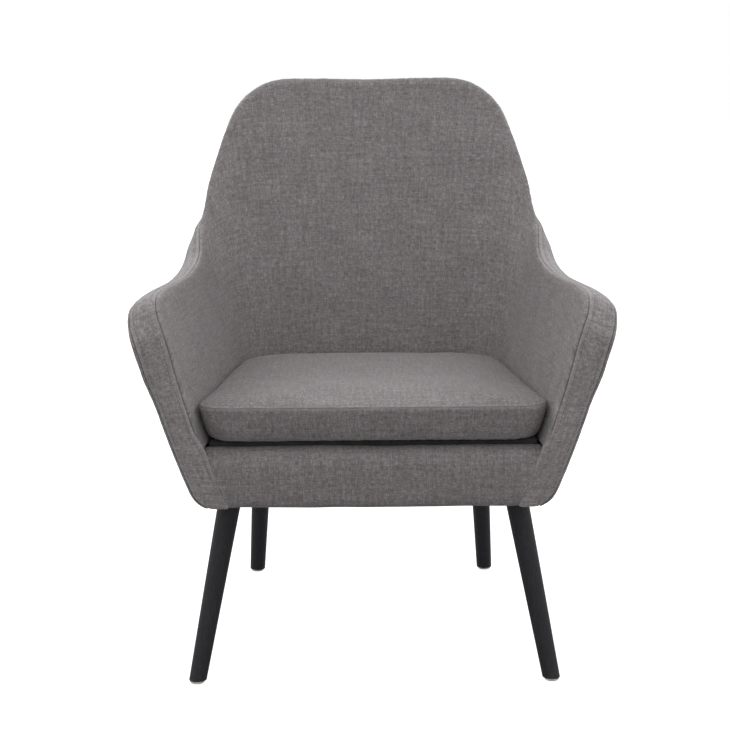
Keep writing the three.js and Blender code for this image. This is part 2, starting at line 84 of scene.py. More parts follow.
# Stations count the guides' points from the middle of the back.
NECK_STATION, NECK_SPREAD, NECK_THINNING = 5.9, 1.8, 17 * MM
ARM_FRONT_WIDENING, WIDENING_START, WIDENING_END = 5 * MM, 9.5, 12.5
EDGE_FALL = 0.45  # how far the edge of the wall falls towards its outer side, as a slope
STEADY_STATION = 12.2  # past it the direction across the wall no longer turns
STATIONS = len(RIM) - 1
LENGTHS = ("back", "arm_left", "arm_right")  # the CAD model makes each pad in these lengths
DECK_FRONT, DECK_FRONT_Y, DECK_SLOPE = 359 * MM, 52 * MM, 0.056
DECK_TOP = 14.6 * MM  # top of the seat deck above the rails
SEAM_DEPTH = 4.9 * MM  # seam of the edge band, from each face of the wall
BAND_REST = 2.2 * MM  # underside of the band above the edge of the wall
LOWER_ROUND = 24 * MM  # height of the rounded lower edge of the shell
LOWER_PULL = 11 * MM  # how far it is pulled in at the very bottom
FRONT_PULL = 6 * MM  # and how much further at the arm fronts
FRONT_PULL_START, FRONT_PULL_END = 10.5, 12.6
LEVEL_FOOT = 36 * MM  # height over which the edge band turns level towards its lower ends
APRON_TOP = 371.5 * MM
BAND_PAINTED_LIGHT = 0.22  # painted light: how much lighter the edge band is painted than the rest, as a share, standing in for the stronger light on its upturned faces
STITCH_IN = 6.6 * MM  # row of topstitching on the band, in from its seam
STITCH_HEIGHT = 11.5 * MM  # and past the edge of the wall
APRON_TUCK = 0.8 * MM  # how far the apron's ends are pressed into the edge band
APRON_REAR_TUCK = 6 * MM  # and how much further they run in under the inner cover, behind the band


def deck_height(y):
    return DECK_FRONT - DECK_SLOPE * (y - FRONT_LINE - DECK_FRONT_Y)


# ---------------- the wall of the shell
def whole_guide(half, level=None):
    right = np.array([(*point[:2], point[2] if level is None else level / MM) for point in half]) * MM
    right[:, 1] += FRONT_LINE
    left = right[:0:-1] * (-1, 1, 1)
    return np.vstack([left, right])


RIM_GUIDE = whole_guide(RIM)
MIDDLE_GUIDE = whole_guide(MIDDLE, SEAT_LEVEL)
BOTTOM_GUIDE = whole_guide(BOTTOM, SHELL_BOTTOM)


def on_guide(points, along):
    """Point of a uniform Catmull-Rom curve at a share of the way, 0 left arm to 1 right arm."""
    spans = len(points) - 1
    place = np.clip(along, 0, 1) * spans
    span = np.minimum(place.astype(int), spans - 1)
    t = (place - span)[..., None]
    ends = np.vstack([2 * points[0] - points[1], points, 2 * points[-1] - points[-2]])
    a, b, c, d = (ends[span + k] for k in range(4))
    return 0.5 * (2 * b + (c - a) * t + (2 * a - 5 * b + 4 * c - d) * t**2 + (3 * b - a - 3 * c + d) * t**3)


def station_of(along):
    return np.abs(np.asarray(along, float) - 0.5) * 2 * STATIONS


def along_at(station):
    """Share of the way at a station, which is negative on the left."""
    return 0.5 + np.asarray(station, float) / (2 * STATIONS)


def rim_height(along):
    return on_guide(RIM_GUIDE, along)[..., 2]


def inner_face(along, z):
    """Point of the wall's inner face, on the parabola through the three guides."""
    along, z = np.broadcast_arrays(np.asarray(along, float), np.asarray(z, float))
    low, middle, high = (on_guide(g, along) for g in (BOTTOM_GUIDE, MIDDLE_GUIDE, RIM_GUIDE))

    def weight(a, b, c):
        return ((z - b) * (z - c) / ((a - b) * (a - c)))[..., None]

    zl, zm, zh = low[..., 2], middle[..., 2], high[..., 2]
    point = low * weight(zl, zm, zh) + middle * weight(zm, zl, zh) + high * weight(zh, zl, zm)
    point[..., 2] = z
    return point


def outward(along, z):
    """Level direction out of the wall's outer face, held steady at the arm fronts."""
    held = np.clip(np.asarray(along, float), along_at(-STEADY_STATION), along_at(STEADY_STATION))
    step = 1e-3
    run = inner_face(held + step, z) - inner_face(held - step, z)
    level = np.stack([-run[..., 1], run[..., 0], np.zeros(run.shape[:-1])], axis=-1)
    return level / np.linalg.norm(level, axis=-1, keepdims=True)


def smoothstep(value, low, high):
    t = np.clip((np.asarray(value, float) - low) / (high - low), 0, 1)
    return t * t * (3 - 2 * t)


def across_wall(along, z):
    """Direction through the wall: level at the seat, square to the leaning wall at the rim."""
    direction = outward(along, z)
    direction[..., 2] -= EDGE_FALL * smoothstep(z, SEAT_LEVEL, rim_height(along))
    return direction


def wall_point(along, z, depth):
    return inner_face(along, z) + across_wall(along, z) * np.asarray(depth, float)[..., None]


def wall_thickness(along, z):
    station = station_of(along)
    height = smoothstep((z - SHELL_BOTTOM) / (rim_height(along) - SHELL_BOTTOM), 0.3, 1)
    neck = np.exp(-(((station - NECK_STATION) / NECK_SPREAD) ** 2))
    widening = ARM_FRONT_WIDENING * smoothstep(station, WIDENING_START, WIDENING_END)
    return WALL - NECK_THINNING * neck * height + widening


def outer_depth(along, z):
    """Depth of the outer face, with the lower edge of the shell rounded in, most at the arm fronts."""
    up = np.clip((np.asarray(z, float) - SHELL_BOTTOM) / LOWER_ROUND, 0, 1)
    pull = LOWER_PULL + FRONT_PULL * smoothstep(station_of(along), FRONT_PULL_START, FRONT_PULL_END)
    return wall_thickness(along, z) - pull * (1 - np.sqrt(1 - (1 - up) ** 2))


# ---------------- mesh helpers
def walked(line):
    """Distance walked along a line of points, at each of them."""
    steps = np.linalg.norm(np.diff(line, axis=0), axis=1)
    return np.concatenate([[0], np.cumsum(steps)])


def points_at(line, places):
    """Points of a line at the given distances along it."""
    return np.stack([np.interp(places, walked(line), column) for column in line.T], axis=1)


def new_object(name, vertices, faces):
    mesh = bpy.data.meshes.new(name)
    mesh.from_pydata([tuple(v) for v in np.asarray(vertices, float)], [], faces)
    mesh.update()
    piece = bpy.data.objects.new(name, mesh)
    bpy.context.scene.collection.objects.link(piece)
    return piece


def set_cloth(piece, cloth):
    """Stores, for each vertex, the place on the cloth in metres and the distance to the nearest seam."""
    layer = piece.data.attributes.new("cloth", "FLOAT_VECTOR", "POINT")
    layer.data.foreach_set("vector", np.asarray(cloth, "f").ravel())


def set_painted_light(piece, lightness):
    """Stores painted light: how much lighter a piece is painted than other pieces of the same cloth, in
    place of the light that falls on it.
    """
    layer = piece.data.attributes.new("painted_light", "FLOAT", "POINT")
    layer.data.foreach_set("value", np.full(len(piece.data.vertices), lightness, "f"))


def get_cloth(piece):
    values = np.empty(len(piece.data.vertices) * 3, "f")
    piece.data.attributes["cloth"].data.foreach_get("vector", values)
    return values.reshape(-1, 3)


def coordinates(mesh, field="co"):
    values = np.empty(len(mesh.vertices) * 3, "f")
    mesh.vertices.foreach_get(field, values)
    return values.reshape(-1, 3).astype(float)


def move_vertices(piece, points):
    piece.data.vertices.foreach_set("co", np.asarray(points, "f").ravel())
    piece.data.update()


def surface_of(piece):
    """A tree for finding the nearest place on a piece, and the corners of its faces."""
    corners = [tuple(p.vertices) for p in piece.data.polygons]
    return BVHTree.FromPolygons([v.co for v in piece.data.vertices], corners), corners


def face_out(piece):
    work = bmesh.new()
    work.from_mesh(piece.data)
    bmesh.ops.recalc_face_normals(work, faces=work.faces)
    work.to_mesh(piece.data)
    work.free()
    piece.data.shade_smooth()


def apply_modifiers(piece):
    evaluated = piece.evaluated_get(bpy.context.evaluated_depsgraph_get())
    mesh = bpy.data.meshes.new_from_object(evaluated)
    piece.modifiers.clear()
    old, name = piece.data, piece.data.name
    piece.data = mesh
    bpy.data.meshes.remove(old)
    mesh.name = name
    mesh.shade_smooth()


def subdivide(piece, levels):
    modifier = piece.modifiers.new("smooth", "SUBSURF")
    modifier.levels = modifier.render_levels = levels
    modifier.boundary_smooth = "PRESERVE_CORNERS"
    apply_modifiers(piece)


def ripple(points, wavelength, seed):
    """Smooth noise at each point, about -1 to 1."""
    shift = Vector((seed * 17.3, seed * 5.1, seed * 9.7))
    return np.array([noise.noise(Vector(p) / wavelength + shift) for p in points]) * 2


def soften(piece, swell, pucker, seed):
    """Gives tight cloth over foam its slow unevenness, and small puckers beside the seams."""
    points = coordinates(piece.data)
    normals = coordinates(piece.data, "normal")
    from_seam = get_cloth(piece)[:, 2]
    near = np.exp(-from_seam / (9 * MM)) * (1 - np.exp(-from_seam / (1.5 * MM)))
    slow = ripple(points, 110 * MM, seed) * 0.7 + ripple(points, 45 * MM, seed + 1) * 0.3
    small = ripple(points, 8 * MM, seed + 2)
    lift = slow * swell * smoothstep(from_seam, 0, 20 * MM) + small * pucker * near * 2
    move_vertices(piece, points + normals * lift[:, None])


def finish_piece(piece, material, body, nodes=()):
    """Gives a piece its material and its body, and hides the CAD nodes that it stands for."""
    piece.data.materials.clear()
    piece.data.materials.append(material)
    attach(piece, body)
    if nodes:
        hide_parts(*nodes)


def sewn_piece(name, shape):
    """A new object from its points, its faces and the place of each point on the cloth."""
    points, faces, cloth = shape
    piece = new_object(name, points, faces)
    set_cloth(piece, cloth)
    face_out(piece)
    return piece


def make_pad(name, shape, levels, swell, pucker, seed):
    """A smooth, slightly uneven padded piece from the points, faces and cloth of a rough form."""
    piece = sewn_piece(name, shape)
    subdivide(piece, levels)
    soften(piece, swell, pucker, seed)
    return piece


def grid_faces(numbers):
    """Quads of a grid of vertex numbers."""
    return [
        (numbers[i, j], numbers[i + 1, j], numbers[i + 1, j + 1], numbers[i, j + 1])
        for i in range(numbers.shape[0] - 1)
        for j in range(numbers.shape[1] - 1)
    ]


def capped_loft(rings):
    """Closed quads through rings with the same number of points, each end filled by a fan."""
    count, size = len(rings), len(rings[0])
    points = [p for ring in rings for p in ring]
    faces = [
        (r * size + i, r * size + (i + 1) % size, (r + 1) * size + (i + 1) % size, (r + 1) * size + i)
        for r in range(count - 1)
        for i in range(size)
    ]
    for r in (0, count - 1):
        middle = len(points)
        points.append(np.mean(rings[r], axis=0))
        faces += [(r * size + i, r * size + (i + 1) % size, middle) for i in range(size)]
    return np.array(points), faces


def add_tube(vertices, faces, rings):
    """Adds a tube through rings with the same number of points, each end closed by one face."""
    first, sides = len(vertices), len(rings[0])
    last = first + (len(rings) - 1) * sides
    vertices += [point for ring in rings for point in ring]
    for start in range(first, last, sides):
        for k in range(sides):
            a, b = start + k, start + (k + 1) % sides
            faces.append((a, b, b + sides, a + sides))
    faces.append(tuple(first + k for k in reversed(range(sides))))
    faces.append(tuple(last + k for k in range(sides)))


# ---------------- wall covers
COLUMN_STEPS = 4  # columns between two stations of the guides
COLUMNS = np.linspace(0, 1, 2 * STATIONS * COLUMN_STEPS + 1)
COVER_ROWS = 25
INNER_CROWN = 2.2 * MM  # how far the inner cover swells into the seat
COVER_LIP = [  # depth from the face, height past the wall's edge and distance from the seam, in mm
    (0.1, 3.6, 4.2), (0.9, 6.6, 2.6), (2.6, 8.2, 1.2), (4.6, 8.4, 0.2), (5.0, 7.0, 0), (5.0, 1.0, 0),
]


def seat_row(along):
    """Where the inner cover disappears under the edge of the seat deck."""
    y = inner_face(along, np.full_like(along, DECK_FRONT))[..., 1]
    return deck_height(y) + 5 * MM


def edge_path(lowest, rows):
    """The edge of the wall as [along, z], from the foot of one arm front to the foot of the other."""
    front = np.linspace(lowest, rim_height(np.array([1.0]))[0], rows)[:-1]
    left = np.stack([np.zeros(rows - 1), front], axis=1)
    top = np.stack([COLUMNS, rim_height(COLUMNS)], axis=1)
    right = np.stack([np.ones(rows - 1), front[::-1]], axis=1)
    return np.vstack([left, top, right])


def edge_frames(path):
    """Point, direction across the wall and direction past its edge, for each place on the path."""
    points = inner_face(path[:, 0], path[:, 1])
    across = across_wall(path[:, 0], path[:, 1])
    run = np.empty_like(points)
    run[1:-1] = points[2:] - points[:-2]
    run[0], run[-1] = points[1] - points[0], points[-1] - points[-2]
    past = np.cross(run, across)
    past[:, 2] *= smoothstep(path[:, 1], SHELL_BOTTOM, SHELL_BOTTOM + LEVEL_FOOT)
    past /= np.linalg.norm(past, axis=1, keepdims=True)
    return points, across, past


def edge_section(frames, depth, height):
    """Line along the wall's edge at a depth through the wall and a height past its edge."""
    points, across, past = frames
    return points + across * np.reshape(depth, (-1, 1)) + past * np.reshape(height, (-1, 1))


def wall_cover(near_depth, far_depth, heights, inside):
    """Points, faces and cloth of a pad that covers one side of the wall, with a lip that turns in
    at the seam of the band. near_depth is the face that shows and far_depth the hidden one."""
    rows = heights.shape[1]
    along = np.repeat(COLUMNS[:, None], rows, axis=1)
    near = wall_point(along, heights, near_depth(along, heights))
    far = wall_point(along, heights, far_depth(along, heights))
    at_seat = inner_face(COLUMNS, np.full_like(COLUMNS, SEAT_LEVEL))
    u = np.repeat(walked(at_seat)[:, None], rows, axis=1)
    v = np.array([walked(column) for column in near])
    to_rim = v[:, -1:] - v
    to_front = np.minimum(u, u[-1, 0] - u)
    from_seam = np.minimum(to_rim, to_front) + 5 * MM

    path = np.vstack([
        np.stack([np.zeros(rows - 1), heights[0, :-1]], axis=1),
        np.stack([COLUMNS, heights[:, -1]], axis=1),
        np.stack([np.ones(rows - 1), heights[-1, -2::-1]], axis=1),
    ])
    frames = edge_frames(path)
    outer = outer_depth(path[:, 0], path[:, 1])
    sections = [
        edge_section(frames, depth * MM if inside else outer - depth * MM, height * MM)
        for depth, height, _ in COVER_LIP
    ]

    def border(grid):
        return np.concatenate([grid[0, :-1], grid[:, -1], grid[-1, -2::-1]])

    size = near[..., 0].size
    near_numbers = np.arange(size).reshape(near.shape[:2])
    far_numbers = near_numbers + size
    strip = [border(near_numbers)]
    strip += [2 * size + k * len(path) + np.arange(len(path)) for k in range(len(COVER_LIP))]
    strip.append(border(far_numbers))
    strip = np.array(strip)
    foot = np.array([near_numbers[:, 0], far_numbers[:, 0]])
    faces = grid_faces(near_numbers) + grid_faces(far_numbers) + grid_faces(strip) + grid_faces(foot)
    ends = [list(strip[:, 0]), list(strip[:, -1])]
    vertices = np.vstack([near.reshape(-1, 3), far.reshape(-1, 3), *sections])
    cloth = [np.stack([u, v, from_seam], axis=-1).reshape(-1, 3)] * 2
    for _, height, seam in COVER_LIP:
        edge = [border(u), border(v) + height * MM, np.full(len(path), seam * MM)]
        cloth.append(np.stack(edge, axis=1))
    return vertices, faces + ends, np.vstack(cloth)


def add_inner_cover(fabric):
    low = seat_row(COLUMNS)[:, None]
    high = rim_height(COLUMNS)[:, None]
    heights = low + (high - low) * np.linspace(0, 1, COVER_ROWS)[None, :]

    def face(along, z):
        upward = np.clip((z - low) / (high - low), 0, 1)
        from_front = np.clip(1 - np.abs(along - 0.5) * 2, 0, 1)
        crown = np.sin(np.pi * upward) ** 0.7 * np.sin(np.pi * from_front**0.5)
        return -INNER_CROWN * np.clip(crown, 0, 1)

    def hidden(along, z):
        return wall_thickness(along, z) - PLY_AND_GAPS - 0.4 * MM

    cover = wall_cover(face, hidden, heights, inside=True)
    piece = make_pad("inner_cover", cover, levels=2, swell=0.8 * MM, pucker=0.35 * MM, seed=1)
    finish_piece(piece, fabric, "chair", [f"inner_{length}_pad" for length in LENGTHS])


def add_outer_cover(fabric):
    share = np.linspace(0, 1, COVER_ROWS)[None, :] ** 1.15
    low = SHELL_BOTTOM + 0.3 * MM
    heights = low + (rim_height(COLUMNS)[:, None] - low) * share

    def hidden(along, z):
        on_plywood = wall_thickness(along, z) - OUTER_PAD + 0.3 * MM
        return np.minimum(on_plywood, outer_depth(along, z) - 1.2 * MM)

    cover = wall_cover(outer_depth, hidden, heights, inside=False)
    piece = make_pad("outer_cover", cover, levels=2, swell=0.7 * MM, pucker=0.12 * MM, seed=4)
    finish_piece(piece, fabric, "chair", [f"outer_{length}_pad" for length in LENGTHS])


def band_side(shoulder, apron):
    """One side of the band's section, from its foot up: distance in from the seam, and height.
    Beside the apron the band's corner is fuller, apron is 1 there and 0 elsewhere."""
    return [
        (0.25 * MM, BAND_REST),
        (0.25 * MM, 7.2 * MM),
        ((0.4 - 0.1 * apron) * MM, (9.2 + 2.8 * apron) * MM),
        ((2.2 - 1.0 * apron) * MM, (10.7 + 2.0 * apron) * MM),
        (STITCH_IN, STITCH_HEIGHT + 1.4 * MM * apron),
        (3.6 * MM + shoulder * 0.62, 12.9 * MM),
    ]


def band_section(wall, inner_seam, apron):
    """Section of the edge band as depth and height for each place on the path."""
    outer_seam = wall - SEAM_DEPTH
    shoulder = np.maximum(wall / 2 - inner_seam - 3.6 * MM, 2 * MM)
    near = [(inner_seam + into, height) for into, height in band_side(shoulder, apron)]
    far = [(outer_seam - into, height) for into, height in band_side(shoulder, 0)]
    crown = [((inner_seam + outer_seam) / 2, 13.5 * MM)]
    return near + crown + far[::-1] + [(wall / 2, BAND_REST)]


def inner_seam_depth(z, along):
    """The band reaches the apron below the seat, and the lip of the inner cover above it.
    Also says how far each place is beside the apron, from 0 to 1."""
    at_front = (np.abs(along - 0.5) > 0.49999).astype(float)
    by_apron = at_front * (1 - smoothstep(z, APRON_TOP, APRON_TOP + 16 * MM))
    return SEAM_DEPTH - by_apron * 6.2 * MM, by_apron


def band_places(left_out=0):
    """Path of the band, less some steps at each end, its frames, the depths of the wall's outer face
    and of the band's inner seam, and how far each place is beside the apron."""
    path = edge_path(SHELL_BOTTOM + 1.2 * MM, 22)
    path = path[left_out:len(path) - left_out]
    seam, by_apron = inner_seam_depth(path[:, 1], path[:, 0])
    return path, edge_frames(path), outer_depth(path[:, 0], path[:, 1]), seam, by_apron


def add_edge_band(fabric):
    path, frames, wall, edge, by_apron = band_places()
    section = band_section(wall, edge, by_apron)
    rings = np.array([edge_section(frames, depth, height) for depth, height in section])
    rings = rings.transpose(1, 0, 2)
    points, faces = capped_loft(list(rings))
    lengths = walked(frames[0])
    count = len(section)
    cloth = np.zeros((len(points), 3))
    for k, (depth, _) in enumerate(section):
        depth = np.broadcast_to(depth, len(path))
        picked = np.arange(len(path)) * count + k
        cloth[picked, 0] = lengths
        cloth[picked, 1] = depth
        cloth[picked, 2] = np.minimum(np.abs(depth - edge), np.abs(wall - SEAM_DEPTH - depth))
    cloth[-2:] = cloth[[0, (len(path) - 1) * count]]
    shape = points, faces, cloth
    piece = make_pad("edge_band", shape, levels=2, swell=0.5 * MM, pucker=0.3 * MM, seed=7)
    # painted light: the band's colour is lifted to stand in for the light its upturned faces catch
    set_painted_light(piece, BAND_PAINTED_LIGHT)
    finish_piece(piece, fabric, "chair", [f"edge_band_{length}" for length in LENGTHS])
    return piece


# ---------------- stitches
STITCH_SHAPE = [(-0.5, 0.12), (-0.36, 0.8), (-0.12, 1.0), (0.12, 1.0), (0.36, 0.8), (0.5, 0.12)]
STITCH_PITCH = 6.2 * MM
STITCH_LENGTH = 4.3 * MM
STITCH_SIDES = 6


def stitch_ring(place, side, normal, width):
    """A flattened ring of thread round a point."""
    turns = [2 * math.pi * k / STITCH_SIDES for k in range(STITCH_SIDES)]
    return [
        place + side * (math.cos(turn) * width / 2) + normal * (math.sin(turn) * width * 0.42)
        for turn in turns
    ]


def add_stitches(name, line, target, thread, body, width=0.75 * MM):
    """A row of thread stitches along a line of points, pressed onto the target piece."""
    surface, _ = surface_of(target)
    spots = points_at(line, np.arange(STITCH_PITCH, walked(line)[-1] - STITCH_PITCH, STITCH_PITCH))
    vertices, faces = [], []
    for number, spot in enumerate(spots):
        ahead = Vector(spots[min(number + 1, len(spots) - 1)] - spots[max(number - 1, 0)])
        place, normal, _, _ = surface.find_nearest(Vector(spot))
        run = (ahead - normal * normal.dot(ahead)).normalized()
        rings = []
        for share, wide in STITCH_SHAPE:
            dip = 0.16 * MM - 0.9 * MM * abs(share) ** 3
            middle = place + run * (share * STITCH_LENGTH) + normal * dip
            rings.append(stitch_ring(middle, normal.cross(run), normal, wide * width))
        add_tube(vertices, faces, rings)
    piece = new_object(name, vertices, faces)
    face_out(piece)
    finish_piece(piece, thread, body)


def add_band_stitches(band, thread):
    _, frames, wall, edge, _ = band_places(left_out=2)
    inner = edge_section(frames, edge + STITCH_IN, STITCH_HEIGHT)
    outer = edge_section(frames, wall - SEAM_DEPTH - STITCH_IN, STITCH_HEIGHT)
    add_stitches("band_inner_topstitch", inner, band, thread, "chair")
    add_stitches("band_outer_topstitch", outer, band, thread, "chair")


# ---------------- front apron
APRON_PROFILE = [  # distance from the front line and height, in mm
    (50, 276.6), (38, 275.8), (30, 275.8), (23, 277.4), (17.2, 282), (14.0, 289), (12.8, 300),
    (12.2, 316), (12.2, 329), (12.9, 340), (15.0, 349.5), (19.5, 357), (27, 362.4), (38, 365),
    (48, 365.6), (51.2, 363.6), (51.4, 345), (51.4, 310), (51.2, 282),
]
APRON_ENDS = [(-1, 2.4), (-1, 0.5), (-0.998, 0)]  # share of the half width, and inset in mm
APRON_CENTRE = np.array([32, 323]) * MM
APRON_BOW = 2.5 * MM  # how far its face goes back at the ends
APRON_CORNER = 3 * MM  # how far its top corners are pressed down


def add_apron(fabric):
    profile = np.array(APRON_PROFILE) * MM
    depth = profile[:, 0]
    middle = [(share, 0) for share in (-0.985, *np.linspace(-0.96, 0.96, 27), 0.985)]
    stations = APRON_ENDS + middle + [(-share, inset) for share, inset in reversed(APRON_ENDS)]
    tuck = APRON_TUCK + APRON_REAR_TUCK * smoothstep(depth, 26 * MM, 40 * MM)
    rings, cloth = [], []
    for share, inset in stations:
        size = np.abs(profile - APRON_CENTRE)
        kept = np.maximum(1 - inset * MM / np.maximum(size, 8 * MM), 0.1)
        y, z = (APRON_CENTRE + (profile - APRON_CENTRE) * kept).T
        y = y + np.where(depth < 30 * MM, APRON_BOW * abs(share) ** 8, 0)
        corner = APRON_CORNER * max(0.0, (abs(share) - 0.95) / 0.05) ** 2
        z = z - corner * smoothstep(z, 350 * MM, 368 * MM)
        half = inner_face(np.ones_like(z), z)[:, 0] + tuck
        ring = np.stack([share * half, FRONT_LINE + y, z], axis=1)
        rings.append(ring)
        from_end = half * (1 - abs(share)) + max(0.0, 1.5 - inset) * MM
        cloth.append(np.stack([ring[:, 0], walked(ring), from_end], axis=1))
    points, faces = capped_loft(rings)
    shape = points, faces, np.vstack([*cloth, cloth[0][:1], cloth[-1][:1]])
    piece = make_pad("front_apron", shape, levels=2, swell=0.9 * MM, pucker=0.3 * MM, seed=11)
    finish_piece(piece, fabric, "chair", ["front_apron_pad"])


# ---------------- loose cushion
CUSHION = "seat_cushion"
CUSHION_LOW, CUSHION_HIGH = (np.array(corner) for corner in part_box(CUSHION))
CUSHION_MIDDLE = (0, (CUSHION_LOW[1] + CUSHION_HIGH[1]) / 2)
CUSHION_HALF = (CUSHION_HIGH - CUSHION_LOW)[:2] / 2
CUSHION_LIFT = DECK_TOP + 1 * MM
CUSHION_BACK_HALF = 214 * MM
CUSHION_BACK_RADIUS = 85 * MM
CUSHION_FRONT_RADIUS = 34 * MM
CUSHION_REAR_TAPER = 210 * MM  # from the back to where the sides start to spread
CUSHION_FRONT_TAPER = 172 * MM  # from the front to where they stop
CUSHION_DROOP = 3.6 * MM  # how far its lower front edge sinks where it hangs over the apron


def cushion_outline(steps=200):
    """Plan of the cushion at its seams, in even steps from the middle of the back, and its girth."""
    front, back, wide = CUSHION_LOW[1], CUSHION_HIGH[1], CUSHION_HALF[0]
    rear_x, rear_y = CUSHION_BACK_HALF - CUSHION_BACK_RADIUS, back - CUSHION_BACK_RADIUS
    front_x, front_y = wide - CUSHION_FRONT_RADIUS, front + 2 * MM + CUSHION_FRONT_RADIUS

    def arc(x, y, radius, start, end, count):
        turns = np.radians(np.linspace(start, end, count))
        return [(x + radius * math.cos(t), y + radius * math.sin(t)) for t in turns]

    half = [(0, back), (rear_x - 40 * MM, back)]
    half += arc(rear_x, rear_y, CUSHION_BACK_RADIUS, 84, 8, 9)
    half += [
        (CUSHION_BACK_HALF + 14 * MM, back - CUSHION_REAR_TAPER),
        (wide - 17 * MM, front + CUSHION_FRONT_TAPER),
    ]
    half += arc(front_x, front_y, CUSHION_FRONT_RADIUS, 2, -84, 8)
    half += [(120 * MM, front + 0.5 * MM), (0, front)]
    outline = np.array(half + [(-x, y) for x, y in half[-2:0:-1]])
    closed = np.vstack([outline, outline[:1]])
    girth = walked(closed)[-1]
    even = points_at(closed, np.linspace(0, girth, steps, endpoint=False))
    for _ in range(3):
        even = 0.5 * even + 0.25 * (np.roll(even, 1, axis=0) + np.roll(even, -1, axis=0))
    return even, girth


# Rings of the cushion as inset, height and whether they lie on a seam, from the middle of the
# underside round the boxed edge to the middle of the top, in mm
CUSHION_RINGS = [
    (225, 0, 0), (170, 0, 0), (110, 0, 0), (60, 0, 0), (34, 0.2, 0), (24, 1.2, 0), (18.6, 2.8, 0),
    (16.2, 3.9, 1), (14.2, 5.4, 0), (11.0, 9.8, 0), (8.0, 16, 0), (5.6, 24, 0), (3.8, 32, 0),
    (2.2, 40, 0), (1.0, 46.4, 0), (0.5, 49.2, 0), (2.2, 50.9, 1), (1.2, 52.6, 0), (3.4, 54.4, 0),
    (8, 56.0, 0), (15, 57.4, 0), (26, 58.6, 0), (42, 59.7, 0), (64, 60.6, 0), (92, 61.2, 0),
    (130, 61.6, 0), (175, 61.8, 0), (225, 61.9, 0),
]


def cushion_ring(outline, inset, above):
    place = (outline - CUSHION_MIDDLE) * (1 - inset * MM / CUSHION_HALF) + CUSHION_MIDDLE
    overhang = 1 - smoothstep(place[:, 1], FRONT_LINE + 30 * MM, FRONT_LINE + 80 * MM)
    droop = CUSHION_DROOP * overhang * (1 - smoothstep(above, 4, 40))
    z = deck_height(place[:, 1]) + CUSHION_LIFT + above * MM - droop
    return np.column_stack([place, z])


CLOTH_GRID = 6 * MM
CLOTH_FRAMES = 20
SEWN_REACH = 5 * MM  # cloth nearer than this to a seam is held by it


def cloth_push(points, faces, seam_points, pressure, limit):
    """Lets a closed form swell as sewn cloth under pressure, and returns how far each point moves."""
    rest = new_object("cloth_trial", points, faces)
    face_out(rest)
    remesh = rest.modifiers.new("even", "REMESH")
    remesh.mode = "VOXEL"
    remesh.voxel_size = CLOTH_GRID
    apply_modifiers(rest)
    start = coordinates(rest.data)
    surface, corners = surface_of(rest)
    group = rest.vertex_groups.new(name="sewn")
    for number, point in enumerate(start):
        if np.min(np.sum((seam_points - point) ** 2, axis=1)) < SEWN_REACH**2:
            group.add([number], 1.0, "REPLACE")
    cloth = rest.modifiers.new("cloth", "CLOTH")
    settings = cloth.settings
    settings.quality = 6
    settings.mass = 0.35
    settings.tension_stiffness = settings.compression_stiffness = 18
    settings.shear_stiffness = 8
    settings.bending_stiffness = 0.8
    settings.use_pressure = True
    settings.uniform_pressure_force = pressure
    settings.vertex_group_mass = "sewn"
    settings.effector_weights.gravity = 0
    cloth.collision_settings.use_collision = False
    scene = bpy.context.scene
    for number in range(1, CLOTH_FRAMES + 1):
        scene.frame_set(number)
    evaluated = rest.evaluated_get(bpy.context.evaluated_depsgraph_get())
    moved = coordinates(evaluated.data) - start
    scene.frame_set(1)
    length = np.linalg.norm(moved, axis=1, keepdims=True)
    moved *= np.minimum(1, limit / np.maximum(length, 1e-9))
    push = np.zeros((len(points), 3))
    for number, point in enumerate(points):
        place, _, face, _ = surface.find_nearest(Vector(point))
        picked = list(corners[face])
        away = np.linalg.norm(start[picked] - np.array(place), axis=1) + 1e-5
        push[number] = (moved[picked] / away[:, None]).sum(axis=0) / (1 / away).sum()
    bpy.data.objects.remove(rest)
    return push


def add_cushion(fabric, thread):
    outline, girth = cushion_outline()
    rings = [cushion_ring(outline, inset, above) for inset, above, _ in CUSHION_RINGS]
    points, faces = capped_loft(rings)
    size = len(outline)
    seams = np.vstack([ring for ring, (_, _, sewn) in zip(rings, CUSHION_RINGS) if sewn])
    push = cloth_push(points, faces, seams, pressure=4, limit=9 * MM)
    push[:, :2] = np.clip(push[:, :2], -2.5 * MM, 2.5 * MM)
    low = points[:, 2] < deck_height(points[:, 1]) + CUSHION_LIFT + 2 * MM
    push[low, 2] = np.maximum(push[low, 2], 0)
    points = points + push
    around = np.linspace(0, girth, size, endpoint=False)
    walk = walked(np.array(CUSHION_RINGS)[:, :2]) * MM
    seam_numbers = [number for number, ring in enumerate(CUSHION_RINGS) if ring[2]]
    low_seam, high_seam = seam_numbers
    cloth = []
    for number, ring in enumerate(rings):
        from_seam = min(abs(walk[number] - walk[seam]) for seam in seam_numbers)
        boxed = low_seam <= number <= high_seam
        place = np.column_stack([around, np.full(size, walk[number])]) if boxed else ring[:, :2]
        cloth.append(np.column_stack([place, np.full(size, from_seam)]))
    cloth += [np.append(np.mean(ring[:, :2], axis=0), 0.2) for ring in (rings[0], rings[-1])]
    shape = points, faces, np.vstack(cloth)
    piece = make_pad("loose_cushion", shape, levels=1, swell=1.0 * MM, pucker=0.5 * MM, seed=15)
    finish_piece(piece, fabric, "cushion", [CUSHION])
    start = (high_seam + 3) * size
    top = points[start:start + size]
    add_stitches("cushion_topstitch", np.vstack([top, top[:1]]), piece, thread, "cushion", width=0.65 * MM)


# ---------------- seat deck and dust cover
def station_trail(last_station, level, depth, count):
    """Points round the wall at one level, between the same station on the left and on the right."""
    along = along_at(np.linspace(-last_station, last_station, count))
    return wall_point(along, np.full(count, level), np.full(count, depth))


